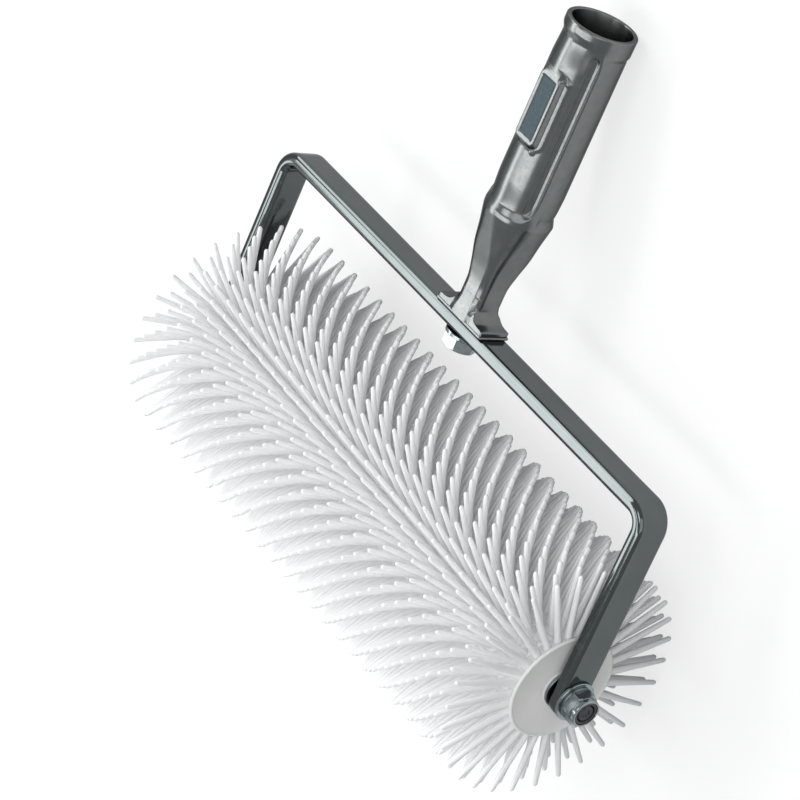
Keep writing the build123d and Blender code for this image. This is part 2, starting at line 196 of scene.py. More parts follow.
@dataclass(frozen=True)
class Finish:
    """A procedural finish: two tones in soft patches, uneven gloss and a fine grain.

    Args:
        title: name of the material.
        dark: colour of the darker patches.
        light: colour of the lighter patches.
        metallic: 1 for metal, 0 for plastic.
        gloss: lowest and highest roughness.
        patch_size: width of a patch, in millimetres.
        grain_size: width of a grain, in millimetres.
        grain_height: height of the grain, in millimetres.
        stretch: how much shorter the patches and grain are along each axis.
        glow: share of light that goes through the surface layer, for milky plastic.
        edge_tint: how strongly metal mirrors at a glancing angle, 1 for bare metal.
    """

    title: str
    dark: tuple[float, float, float]
    light: tuple[float, float, float]
    metallic: float
    gloss: tuple[float, float]
    patch_size: float
    grain_size: float
    grain_height: float
    stretch: tuple[float, float, float] = (1.0, 1.0, 1.0)
    glow: float = 0.0
    edge_tint: float = 1.0

    def material(self) -> bpy.types.Material:
        """Build the node material.

        A soft noise on Object coordinates mixes the two tones and, at another scale, sets the
        roughness; a fine noise lifts the surface as a bump.

        Returns:
            The material, made once and then shared by its name.
        """
        made = bpy.data.materials.get(self.title)
        if made is not None:
            return made
        material = bpy.data.materials.new(self.title)
        material.use_nodes = True
        nodes, links = material.node_tree.nodes, material.node_tree.links
        shader = nodes["Principled BSDF"]
        shader.inputs["Metallic"].default_value = self.metallic
        shader.inputs["Specular Tint"].default_value = (*(3 * [self.edge_tint]), 1.0)
        place = nodes.new("ShaderNodeTexCoord")
        mapping = nodes.new("ShaderNodeMapping")
        mapping.inputs["Scale"].default_value = self.stretch
        links.new(place.outputs["Object"], mapping.inputs["Vector"])
        patches = self._noise(nodes, links, mapping, self.patch_size, 3.0)
        tone = nodes.new("ShaderNodeMix")
        tone.data_type = "RGBA"
        tone.inputs["A"].default_value = (*self.dark, 1.0)
        tone.inputs["B"].default_value = (*self.light, 1.0)
        spread = nodes.new("ShaderNodeMapRange")
        spread.inputs["From Min"].default_value = 0.35
        spread.inputs["From Max"].default_value = 0.65
        links.new(patches.outputs["Fac"], spread.inputs["Value"])
        links.new(spread.outputs["Result"], tone.inputs["Factor"])
        links.new(tone.outputs["Result"], shader.inputs["Base Color"])
        sheen = self._noise(nodes, links, mapping, self.patch_size / 3.0, 2.0)
        rough = nodes.new("ShaderNodeMapRange")
        rough.inputs["From Min"].default_value = 0.3
        rough.inputs["From Max"].default_value = 0.7
        rough.inputs["To Min"].default_value = self.gloss[0]
        rough.inputs["To Max"].default_value = self.gloss[1]
        links.new(sheen.outputs["Fac"], rough.inputs["Value"])
        links.new(rough.outputs["Result"], shader.inputs["Roughness"])
        grain = self._noise(nodes, links, mapping, self.grain_size, 2.0)
        bump = nodes.new("ShaderNodeBump")
        bump.inputs["Strength"].default_value = 1.0
        bump.inputs["Distance"].default_value = self.grain_height * MM
        links.new(grain.outputs["Fac"], bump.inputs["Height"])
        links.new(bump.outputs["Normal"], shader.inputs["Normal"])
        if self.glow:
            shader.inputs["Subsurface Weight"].default_value = self.glow
            shader.inputs["Subsurface Radius"].default_value = (1.0, 1.0, 1.0)
            shader.inputs["Subsurface Scale"].default_value = 2.0 * MM
        return material

    @staticmethod
    def _noise(nodes: "bpy.types.Nodes", links: "bpy.types.NodeLinks",
               mapping: bpy.types.Node, size: float, detail: float) -> bpy.types.Node:
        """A noise node whose features are about size millimetres wide.

        Args:
            nodes: the material's nodes.
            links: the material's links.
            mapping: the node that gives the place on the piece.
            size: width of a feature, in millimetres.
            detail: how many finer layers the noise has.

        Returns:
            The noise node.
        """
        noise = nodes.new("ShaderNodeTexNoise")
        noise.inputs["Scale"].default_value = 1.0 / (size * MM)
        noise.inputs["Detail"].default_value = detail
        links.new(mapping.outputs["Vector"], noise.inputs["Vector"])
        return noise


WHITE_SPIKE = Finish("white_spike_plastic", (0.94, 0.945, 0.945), (0.965, 0.967, 0.967), 0.0,
                     (0.55, 0.65), 30.0, 0.6, 0.006, glow=0.25)
WARM_CAP = Finish("warm_white_cap", (0.86, 0.86, 0.835), (0.90, 0.90, 0.88), 0.0,
                  (0.45, 0.6), 18.0, 0.5, 0.015)
TUBE_PLASTIC = Finish("core_tube_plastic", (0.70, 0.70, 0.69), (0.78, 0.78, 0.77), 0.0,
                      (0.5, 0.6), 25.0, 0.8, 0.02)
BUSH_PLASTIC = Finish("turned_bush_plastic", (0.50, 0.50, 0.48), (0.58, 0.58, 0.55), 0.0,
                      (0.4, 0.5), 12.0, 0.5, 0.02)
PLATED_STEEL = Finish("plated_bar_steel", (0.102, 0.116, 0.116), (0.114, 0.126, 0.126), 1.0,
                      (0.07, 0.11), 22.0, 0.9, 0.002, edge_tint=0.7)
CAST_METAL = Finish("satin_cast_aluminium", (0.160, 0.173, 0.173), (0.185, 0.191, 0.186), 1.0,
                    (0.22, 0.27), 3.6, 0.6, 0.0032, edge_tint=0.35)
BARE_PANEL = Finish("bare_cast_panel", (0.065, 0.09, 0.10), (0.09, 0.115, 0.13), 1.0,
                    (0.5, 0.62), 0.7, 0.4, 0.012, edge_tint=0.4)
BLUE_ZINC = Finish("blue_zinc_steel", (0.25, 0.285, 0.295), (0.30, 0.335, 0.345), 1.0,
                   (0.16, 0.22), 3.0, 0.5, 0.002, edge_tint=0.7)
GREY_STEEL = Finish("axle_rod_steel", (0.035, 0.038, 0.04), (0.06, 0.063, 0.067), 1.0,
                    (0.25, 0.35), 3.0, 0.5, 0.004)
BLACK_NYLON = Finish("black_insert_nylon", (0.010, 0.010, 0.011), (0.028, 0.028, 0.03), 0.0,
                     (0.35, 0.5), 4.0, 0.4, 0.01)


@dataclass
class Workshop:
    """Turns surfaces into pieces on their bodies.

    Args:
        axes: the tool's own axes.
        made: names of the pieces made so far.
    """

    axes: ToolAxes
    made: list[str] = field(default_factory=list)

    def piece(self, name: str, surface: Surface, finishes: list[Finish], body: Body,
              nodes: list[str], sharp_angle: float = 32.0) -> bpy.types.Object:
        """Make one piece that stands for CAD nodes.

        Args:
            name: the piece's name.
            surface: its closed surface, in tool millimetres.
            finishes: its finishes; a face's mark is its place in this list.
            body: the body that it rides on.
            nodes: the CAD nodes that it replaces.
            sharp_angle: edges that turn by more degrees than this stay sharp.

        Returns:
            The new object, at the origin.
        """
        mesh = bpy.data.meshes.new(name)
        points = self.axes.place(surface.points)
        mesh.vertices.add(len(points))
        mesh.vertices.foreach_set("co", points.astype(np.float32).ravel())
        corners = np.concatenate([surface.quads.ravel(), surface.triangles.ravel()])
        sizes = np.concatenate([np.full(len(surface.quads), 4), np.full(len(surface.triangles), 3)])
        mesh.loops.add(len(corners))
        mesh.loops.foreach_set("vertex_index", corners.astype(np.int32))
        mesh.polygons.add(len(sizes))
        starts = np.concatenate([[0], np.cumsum(sizes)[:-1]])
        mesh.polygons.foreach_set("loop_start", starts.astype(np.int32))
        mesh.polygons.foreach_set("use_smooth", np.ones(len(sizes), dtype=bool))
        for finish in finishes:
            mesh.materials.append(finish.material())
        if surface.marks is not None:
            mesh.polygons.foreach_set("material_index", surface.marks.astype(np.int32))
        mesh.update(calc_edges=True)
        mesh.validate()
        mesh.set_sharp_from_angle(angle=math.radians(sharp_angle))
        made = bpy.data.objects.new(name, mesh)
        bpy.context.scene.collection.objects.link(made)
        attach(made, body.value)
        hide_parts(*nodes)
        self.made.append(name)
        log.info("%s: %d faces on %s", name, len(sizes), body.value)
        return made

    def dress(self, node: str, finish: Finish) -> None:
        """Give a CAD node that stays in sight its finish.

        Args:
            node: the CAD node's name.
            finish: its finish.
        """
        mesh = frame["nodes"][node].data
        mesh.materials.clear()
        mesh.materials.append(finish.material())
        log.info("%s: dressed as %s", node, finish.title)


def turned_rows(profile: np.ndarray, angles: np.ndarray, side: int = 1) -> np.ndarray:
    """Turn a profile about the axle: the point at each angle is the radius times its cosine
    across and its sine up, and the profile's distance, on one side, along the axle.

    Args:
        profile: (distance from the middle, radius) pairs.
        angles: angles round the axle, in radians, from the across direction to the up one.
        side: 1 for the near side, -1 for the far one.

    Returns:
        Points as (profile place, angle, 3).
    """
    distance, radius = profile[:, 0:1], profile[:, 1:2]
    along = side * distance + 0.0 * angles
    return np.stack([along, radius * np.cos(angles), radius * np.sin(angles)], axis=-1)


def even_angles(count: int) -> np.ndarray:
    """Angles of a full turn in equal steps, in radians."""
    return np.linspace(0.0, 2.0 * math.pi, count, endpoint=False)


def washer_profile(start: float, thickness: float, outer: float, inner: float,
                   edge: float) -> np.ndarray:
    """Closed outline of a flat ring with small bevels on its outer edges.

    Args:
        start: distance of its inner face from the middle.
        thickness: its thickness.
        outer: outer radius.
        inner: bore radius.
        edge: size of the bevels.

    Returns:
        (distance, radius) pairs round the outline.
    """
    end = start + thickness
    return np.array([(start, inner), (start, outer - edge), (start + edge, outer),
                     (end - edge, outer), (end, outer - edge), (end, inner)])


def soft_step(value: np.ndarray, low: float, high: float) -> np.ndarray:
    """0 below low, 1 above high, and three t squared less two t cubed between them."""
    share = np.clip((value - low) / (high - low), 0.0, 1.0)
    return share * share * (3.0 - 2.0 * share)


def smooth_curve(places: np.ndarray, knots: np.ndarray, values: np.ndarray) -> np.ndarray:
    """Cubic curve through knots that doesn't overshoot.

    Each knot's slope is the harmonic mean of the slopes beside it, or zero where they change
    sign; between knots the curve is the cubic with those values and slopes.

    Args:
        places: where the curve is wanted.
        knots: rising knot places.
        values: values at the knots.

    Returns:
        The values at the places.
    """
    gaps = np.diff(knots)
    rises = np.diff(values) / gaps
    slopes = np.zeros(len(knots))
    same = rises[:-1] * rises[1:] > 0
    both = np.where(same, rises[:-1] + rises[1:], 1.0)
    slopes[1:-1] = np.where(same, 2.0 * rises[:-1] * rises[1:] / both, 0.0)
    slopes[0], slopes[-1] = rises[0], rises[-1]
    left = np.clip(np.searchsorted(knots, places, side="right") - 1, 0, len(knots) - 2)
    gap = gaps[left]
    share = np.clip((places - knots[left]) / gap, 0.0, 1.0)
    square, cube = share**2, share**3
    return ((2 * cube - 3 * square + 1) * values[left]
            + (cube - 2 * square + share) * gap * slopes[left]
            + (3 * square - 2 * cube) * values[left + 1]
            + (cube - square) * gap * slopes[left + 1])


def block_radius(angles: np.ndarray, half_along: np.ndarray, half_across: np.ndarray,
                 corner: np.ndarray) -> np.ndarray:
    """Distance from the middle to the outline of a rectangle with round corners.

    A direction meets the end face, the side face, or else the circle of a corner, whose
    distance is the far root of the usual quadratic.

    Args:
        angles: directions, in radians, from the front towards the near side.
        half_along: half length in the along direction.
        half_across: half width in the across direction.
        corner: corner radius.

    Returns:
        The distances, as wide as the arguments together.
    """
    tiny = 1e-9
    part_along, part_across = np.abs(np.sin(angles)) + tiny, np.abs(np.cos(angles)) + tiny
    to_end, to_side = half_along / part_along, half_across / part_across
    middle_along, middle_across = half_along - corner, half_across - corner
    reach = middle_along * part_along + middle_across * part_across
    inside = reach**2 - (middle_along**2 + middle_across**2 - corner**2)
    to_corner = reach + np.sqrt(np.maximum(inside, 0.0))
    meets_end = to_end * part_across <= middle_across
    meets_side = to_side * part_along <= middle_along
    return np.where(meets_end, to_end, np.where(meets_side, to_side, to_corner))


@dataclass
class SpikedRoller:
    """Roller of white rings with staggered rows of tapered spikes, and its two end caps.

    Fields are the CAD's sizes, in millimetres and degrees.
    """

    tip_radius: float = 53.5
    hub_radius: float = 22.5
    ring_bore: float = 19.5
    row_pitch: float = 5.1
    end_margin: float = 2.05
    double_rings: int = 24
    spikes_per_row: int = 30
    last_ring_turn: float = -2.5
    ring_turn: float = 0.8
    roller_twist: float = -6.8
    roller_shift: float = -0.3
    seam: float = 0.22
    spike_sides: int = 8
    lean: float = 0.3
    cap_radius: float = 23.9
    cap_flange: float = 0.8
    cap_boss_height: float = 0.3
    cap_boss_radius: float = 8.6
    cap_bore: float = 6.05
    sleeve_radius: float = 8.65
    sleeve_length: float = 14.0
    plug_radii: tuple[float, float] = (16.0, 17.8)
    plug_length: float = 10.0
    spike_outline: tuple = ((22.0, 2.1), (22.75, 1.72), (24.6, 1.56), (38.0, 1.24),
                            (52.5, 1.0), (53.2, 0.7))

    @property
    def first_row(self) -> float:
        """Distance of the end rows from the middle of the roller."""
        return self.double_rings * self.row_pitch

    def spikes(self, row_along: float, turn: float, random: np.random.Generator) -> Surface:
        """One row of spikes: a tapered outline turned about each spike's own line.

        A point is its height on the spike times the spike's direction, plus its radius times
        the two directions square to it; each spike leans by a small random angle.

        Args:
            row_along: place of the row on the axle.
            turn: angle of the row's first spike, in radians.
            random: the roller's seeded generator.

        Returns:
            The row's spikes, each closed at its foot and its tip.
        """
        count, sides = self.spikes_per_row, self.spike_sides
        angle = turn + even_angles(count)
        zero = np.zeros(count)
        out = np.stack([zero, np.cos(angle), np.sin(angle)], axis=-1)
        round_about = np.stack([zero, -np.sin(angle), np.cos(angle)], axis=-1)
        along = np.tile([1.0, 0.0, 0.0], (count, 1))
        lean = np.radians(self.lean) * random.standard_normal((count, 2)).clip(-1.6, 1.6)
        line = out + lean[:, :1] * along + lean[:, 1:] * round_about
        line /= np.linalg.norm(line, axis=1, keepdims=True)
        outline = np.array(self.spike_outline)
        turn_round = even_angles(sides)
        ring = (along[:, None] * np.cos(turn_round)[None, :, None]
                + round_about[:, None] * np.sin(turn_round)[None, :, None])
        height, radius = outline[:, 0], outline[:, 1]
        root = out * self.hub_radius + np.array([row_along, 0.0, 0.0])
        shaft = root[:, None] + (height - self.hub_radius)[None, :, None] * line[:, None]
        body = shaft[:, :, None] + radius[None, :, None, None] * ring[:, None]
        tips = root + (self.tip_radius - self.hub_radius - 0.03) * line
        feet = shaft[:, 0]
        parts = len(outline) * sides
        index = np.arange(parts).reshape(len(outline), sides)
        ahead = np.roll(index, -1, axis=1)
        quads = np.stack([index[:-1], ahead[:-1], ahead[1:], index[1:]], axis=-1).reshape(-1, 4)
        foot_fan = np.stack([ahead[0], index[0], np.full(sides, parts)], axis=-1)
        tip_fan = np.stack([index[-1], ahead[-1], np.full(sides, parts + 1)], axis=-1)
        triangles = np.concatenate([foot_fan, tip_fan])
        points = np.concatenate(
            [body.reshape(count, parts, 3), feet[:, None], tips[:, None]], axis=1)
        moves = (np.arange(count) * (parts + 2))[:, None, None]
        return Surface(points.reshape(-1, 3), (quads[None] + moves).reshape(-1, 4),
                       (triangles[None] + moves).reshape(-1, 3)).outward()

    def hub(self, low: float, high: float) -> Surface:
        """Hub of a ring: a bored drum with a small bevel at each seam."""
        seam = self.seam
        profile = np.array([(low, self.ring_bore), (low, self.hub_radius - seam),
                            (low + seam, self.hub_radius), (high - seam, self.hub_radius),
                            (high, self.hub_radius - seam), (high, self.ring_bore)])
        return Surface.from_closed_rows(turned_rows(profile, even_angles(90)))

    def build(self, shop: Workshop) -> None:
        """Make every ring with its rows of spikes, and both end caps.

        Args:
            shop: the workshop that makes the pieces.
        """
        random = np.random.default_rng(7)
        half_pitch, stagger = self.row_pitch / 2, math.pi / self.spikes_per_row
        for number in range(self.double_rings + 1):
            last = number == self.double_rings
            start = self.roller_shift - self.first_row + 2 * number * self.row_pitch
            low = start - (self.end_margin if number == 0 else half_pitch)
            high = start + (self.end_margin if last else self.row_pitch + half_pitch)
            share = 1.0 - number / self.double_rings
            turn = self.last_ring_turn if last else self.ring_turn + self.roller_twist * share
            turn = math.radians(turn)
            rows = [self.spikes(start, turn, random)]
            if not last:
                rows.append(self.spikes(start + self.row_pitch, turn + stagger, random))
            label = f"{number + 1:02d}"
            shop.piece(f"ring_{label}", Surface.joined([self.hub(low, high), *rows]), [WHITE_SPIKE],
                       Body.ROLLER, [f"spike_ring_{label}"], sharp_angle=50.0)
        for end, side in (("near", 1), ("far", -1)):
            self.cap(shop, end, side)

    def cap(self, shop: Workshop, end: str, side: int) -> None:
        """One end cap: a rimmed flange with a boss, a sleeve for its bush and a plug.

        Args:
            shop: the workshop that makes the pieces.
            end: "near" or "far".
            side: 1 or -1.
        """
        seat = self.first_row + self.end_margin + side * self.roller_shift
        flange, boss = seat + self.cap_flange, seat + self.cap_flange + self.cap_boss_height
        sleeve, plug = seat - self.sleeve_length, seat - self.plug_length
        plug_inner, plug_outer = self.plug_radii
        edge = self.cap_radius
        profile = np.array([
            (boss, self.cap_bore), (sleeve, self.cap_bore), (sleeve, self.sleeve_radius),
            (seat, self.sleeve_radius), (seat, plug_inner), (plug, plug_inner),
            (plug, plug_outer), (seat, plug_outer), (seat, edge - 0.15),
            (seat + 0.15, edge), (flange - 0.3, edge), (flange + 0.12, edge - 0.1),
            (flange + 0.36, edge - 0.35), (flange + 0.45, edge - 0.75), (flange + 0.36, edge - 1.1),
            (flange + 0.1, edge - 1.42), (flange, edge - 1.7),
            (flange, self.cap_boss_radius + 0.3), (flange + 0.08, self.cap_boss_radius + 0.06),
            (boss - 0.06, self.cap_boss_radius), (boss, self.cap_boss_radius - 0.1)])
        rows = turned_rows(profile, even_angles(128), side)
        shop.piece(f"cap_{end}", Surface.from_closed_rows(rows), [WARM_CAP], Body.ROLLER,
                   [f"end_cap_{end}"], sharp_angle=40.0)


@dataclass
class Fasteners:
    """Washers, lock nuts, axle rod, and the bolt under the bow's bar."""

    bow_inner_half: float = 126.9
    bow_outer_half: float = 133.3
    inner_washer: tuple[float, float] = (8.6, 1.0)
    outer_washer: tuple[float, float] = (8.8, 1.3)
    spring_washer: tuple[float, float] = (7.3, 0.9)
    spring_slit: float = 1.2
    washer_bore: float = 4.3
    axle_radius: float = 4.0
    axle_inset: float = 0.5
    across_flats: float = 13.0
    hex_height: float = 4.4
    collar_height: float = 2.2
    collar_radius: float = 6.25
    insert_radius: float = 5.2
    insert_depth: float = 1.9
    insert_inset: float = 0.35
    thread_hole: float = 4.05
    nut_turn: float = 10.0
    bar_underside: float = 81.3
    bolt_washer: tuple[float, float] = (8.0, 1.6)
    bolt_head_height: float = 5.3
    bolt_reach: float = 22.0

    @property
    def nut_seat(self) -> float:
        """Distance of the nuts' inner faces from the middle."""
        return self.bow_outer_half + self.outer_washer[1] + self.spring_washer[1]

    def hexagon_radius(self, angles: np.ndarray, turn: float) -> np.ndarray:
        """Distance to a hexagon's outline: half the flats over the cosine of the angle from the
        nearest flat's middle.

        Args:
            angles: directions, in radians.
            turn: direction of a corner, in degrees.

        Returns:
            The distance for each direction.
        """
        sixth = math.pi / 3
        off = np.mod(angles - math.radians(turn), sixth) - sixth / 2
        return self.across_flats / 2 / np.cos(off)

    def build(self, shop: Workshop) -> None:
        """Make all the fasteners.

        Args:
            shop: the workshop that makes the pieces.
        """
        thin = self.bow_inner_half - self.inner_washer[1]
        self.pair(shop, "washers_inside_legs", "inner_washers", thin, self.inner_washer, 0.12)
        self.pair(shop, "washers_outside_legs", "outer_washers", self.bow_outer_half,
                  self.outer_washer, 0.22)
        self.springs(shop)
        self.nuts(shop)
        self.axle(shop)
        self.bolt(shop)

    def pair(self, shop: Workshop, name: str, node: str, start: float,
             washer: tuple[float, float], edge: float) -> None:
        """A washer on each side of the tool, as one piece.

        Args:
            shop: the workshop that makes the pieces.
            name: the piece's name.
            node: the CAD node that it stands for.
            start: distance of the washers' inner faces from the middle.
            washer: radius and thickness.
            edge: bevel of the outer edges.
        """
        profile = washer_profile(start, washer[1], washer[0], self.washer_bore, edge)
        sides = [Surface.from_closed_rows(turned_rows(profile, even_angles(72), side))
                 for side in (1, -1)]
        shop.piece(name, Surface.joined(sides), [BLUE_ZINC], Body.FRAME, [node])

    def springs(self, shop: Workshop) -> None:
        """Split spring washers: a square section carried round, but for the slit.

        Args:
            shop: the workshop that makes the pieces.
        """
        radius, thickness = self.spring_washer
        start = self.bow_outer_half + self.outer_washer[1]
        middle = (radius + self.washer_bore) / 2
        half_slit = math.asin(self.spring_slit / 2 / middle)
        angles = np.linspace(-math.pi / 2 + half_slit, 1.5 * math.pi - half_slit, 61)
        profile = washer_profile(start, thickness, radius, self.washer_bore, 0.12)
        rows = [Surface.from_rows(np.swapaxes(turned_rows(profile, angles, side), 0, 1))
                for side in (1, -1)]
        shop.piece("split_spring_washers", Surface.joined(rows), [BLUE_ZINC], Body.FRAME,
                   ["spring_washers"])

    def nuts(self, shop: Workshop) -> None:
        """Lock nuts with round collars, and their nylon inserts.

        The outline's radius is the smaller of the hexagon's and the profile's own limit, so
        the limit's cones cut the corners off.

        Args:
            shop: the workshop that makes the pieces.
        """
        seat, top = self.nut_seat, self.nut_seat + self.hex_height
        face, mouth = top + self.collar_height, self.insert_radius + 0.05
        corner = self.across_flats / math.sqrt(3.0)
        collar, hole = self.collar_radius, self.thread_hole
        limit = np.array([
            (seat, hole), (seat, corner - 0.7), (seat + 0.3, corner + 0.1),
            (top - 0.42, corner + 0.1), (top - 0.2, corner - 0.3), (top, corner - 0.75),
            (top, collar + 0.12), (top + 0.12, collar),
            (face - 0.7, collar), (face - 0.32, collar - 0.12), (face - 0.1, collar - 0.38),
            (face, collar - 0.7), (face - 0.06, mouth + 0.05), (face - 0.16, mouth),
            (face - self.insert_depth, mouth), (face - self.insert_depth, hole)])
        corners = np.radians(self.nut_turn) + even_angles(6)
        turns = np.unique(np.round(np.sort(np.concatenate([even_angles(90), corners])), 6))
        shapes = []
        for side in (1, -1):
            rows = turned_rows(limit, turns, side)
            radius = np.minimum(limit[:, 1:2], self.hexagon_radius(turns, self.nut_turn)[None])
            rows[..., 1] = radius * np.cos(turns)
            rows[..., 2] = radius * np.sin(turns)
            shapes.append(Surface.from_closed_rows(rows))
        shop.piece("collared_lock_nuts", Surface.joined(shapes), [BLUE_ZINC], Body.FRAME,
                   ["lock_nuts"], sharp_angle=24.0)
        outer = face - self.insert_inset
        inner = face - self.insert_depth
        insert = np.array([
            (inner, hole), (inner, self.insert_radius), (outer - 0.2, self.insert_radius),
            (outer, self.insert_radius - 0.25), (outer, 4.4), (outer - 0.2, hole)])
        inserts = [Surface.from_closed_rows(turned_rows(insert, even_angles(64), side))
                   for side in (1, -1)]
        shop.piece("nylon_inserts", Surface.joined(inserts), [BLACK_NYLON], Body.FRAME,
                   ["lock_nut_inserts"])

    def axle(self, shop: Workshop) -> None:
        """Axle rod with a thread's rings near its ends and a bevelled, slightly dished face.

        Args:
            shop: the workshop that makes the pieces.
        """
        end = self.nut_seat + self.hex_height + self.collar_height - self.axle_inset
        radius = self.axle_radius
        half = [(0.0, radius), (118.0, radius)]
        thread = [(end - 0.75 - 0.625 * step, radius - (0.28 if step % 2 else 0.0))
                  for step in range(24, -1, -1)]
        tip = [(end, radius - 0.72), (end, 1.9), (end - 0.35, 1.5), (end - 0.35, 0.6)]
        near = np.array(half + thread + tip)
        far = near[1:][::-1] * np.array([-1.0, 1.0])
        rows = turned_rows(np.concatenate([far, near]), even_angles(48))
        shop.piece("threaded_axle", Surface.from_rows(rows), [GREY_STEEL], Body.FRAME,
                   ["axle_rod"])

    def bolt(self, shop: Workshop) -> None:
        """Hexagon bolt under the bar with its washer; the same shapes, about the handle's line.

        Args:
            shop: the workshop that makes the pieces.
        """
        radius, thickness = self.bolt_washer
        seat = self.bar_underside - thickness
        corner = self.across_flats / math.sqrt(3.0)
        low = seat - self.bolt_head_height
        cone = [(low + 0.6 * share, corner - 0.95 + share) for share in np.linspace(0.0, 1.0, 9)]
        limit = np.array([(low, 5.0), *cone, (seat - 0.05, corner + 0.1), (seat, 4.0),
                          (self.bar_underside + 6.4 + self.bolt_reach, 4.0)])
        corners = math.pi / 6 + even_angles(6)
        turns = np.unique(np.round(np.concatenate([even_angles(96), corners]), 6))
        rows = turned_rows(limit, turns)
        hexed = np.minimum(limit[:, 1:2], self.hexagon_radius(turns, 0.0)[None])
        bolt = np.stack([hexed * np.cos(turns), hexed * np.sin(turns), rows[..., 0]], axis=-1)
        shop.piece("socket_bolt", Surface.from_rows(bolt), [BLUE_ZINC], Body.FRAME,
                   ["handle_bolt"], sharp_angle=20.0)
        washer = turned_rows(washer_profile(seat, thickness, radius, 4.3, 0.2), even_angles(72))
        flat = np.stack([washer[..., 1], washer[..., 2], washer[..., 0]], axis=-1)
        shop.piece("bolt_washer", Surface.from_closed_rows(flat), [BLUE_ZINC], Body.FRAME,
                   ["handle_washer"])


@dataclass
class Bow:
    """Flat bar bent round the roller, with half-round leg ends."""

    width: float = 15.3
    thickness: float = 6.4
    edge_round: float = 2.6
    bend_radius: float = 11.5
    height: float = 87.7
    outer_half: float = 133.3
    leg_end_offset: float = 1.3

    def section(self) -> np.ndarray:
        """Half outline of the bar: inset from the bar's edge and height over its middle plane.

        Returns:
            (inset, height) pairs from the middle of the inner face over the round edges to
            the middle of the outer face.
        """
        half, round_edge = self.thickness / 2, self.edge_round
        turn = np.linspace(0.0, math.pi / 2, 11)
        low = np.stack([round_edge * (1 - np.sin(turn)),
                        -half + round_edge * (1 - np.cos(turn))], axis=1)
        flat = np.array([(self.width / 2, -half), (self.width / 4, -half)])
        lower = np.concatenate([flat, low])
        upper = lower[::-1] * np.array([1.0, -1.0])
        return np.concatenate([lower, upper])

    def path(self) -> tuple[np.ndarray, np.ndarray]:
        """Middle line of the bar in the plane of the bow, without the round ends.

        Straight legs and cross bar with a quarter circle at each bend.

        Returns:
            Points (along, up) and the outward normal at each.
        """
        reach = self.outer_half - self.thickness / 2
        top = self.height - self.thickness / 2
        bend = self.bend_radius - self.thickness / 2
        legs = np.linspace(-self.leg_end_offset, top - bend, 14)
        turn = np.linspace(0.0, math.pi / 2, 21)[1:-1]
        bars = np.linspace(-(reach - bend), reach - bend, 30)
        one, none = np.ones, np.zeros
        along = np.concatenate([-reach * one(14), -(reach - bend) - bend * np.cos(turn), bars,
                                (reach - bend) + bend * np.sin(turn), reach * one(14)])
        up = np.concatenate([legs, top - bend + bend * np.sin(turn), top * one(30),
                             top - bend + bend * np.cos(turn), legs[::-1]])
        out_along = np.concatenate([-one(14), -np.cos(turn), none(30), np.sin(turn), one(14)])
        out_up = np.concatenate([none(14), np.sin(turn), one(30), np.cos(turn), none(14)])
        return np.stack([along, up], axis=1), np.stack([out_along, out_up], axis=1)

    def build(self, shop: Workshop) -> None:
        """Carry the section along the path and round the leg ends.

        On the path a section point stands its height out from the middle line and its inset
        from the bar's edge; round a leg end its distance from the end's centre stays, and it
        turns from the side to the tip.

        Args:
            shop: the workshop that makes the pieces.
        """
        section = self.section()
        line, normal = self.path()
        reach, height = self.width / 2 - section[:, 0], section[:, 1]
        sides = np.concatenate([-np.ones(len(section)), np.ones(len(section))])
        reach = np.concatenate([reach, reach[::-1]]) * sides
        height = np.concatenate([height, height[::-1]])
        turn = np.radians(np.linspace(89.9, 4.0, 16))
        ends = []
        for place, out in ((line[0], normal[0]), (line[-1], normal[-1])):
            rows = np.stack([
                place[0] + out[0] * height + 0.0 * turn[:, None],
                reach * np.cos(turn)[:, None],
                place[1] - np.abs(reach) * np.sin(turn)[:, None]], axis=-1)
            ends.append(rows)
        middle = np.stack([
            line[:, :1] + normal[:, :1] * height,
            reach + 0.0 * line[:, :1],
            line[:, 1:] + normal[:, 1:] * height], axis=-1)
        rows = np.concatenate([ends[0], middle, ends[1][::-1]])
        shop.piece("bent_bar", Surface.from_rows(rows), [PLATED_STEEL], Body.FRAME,
                   ["yoke_bow"], sharp_angle=40.0)


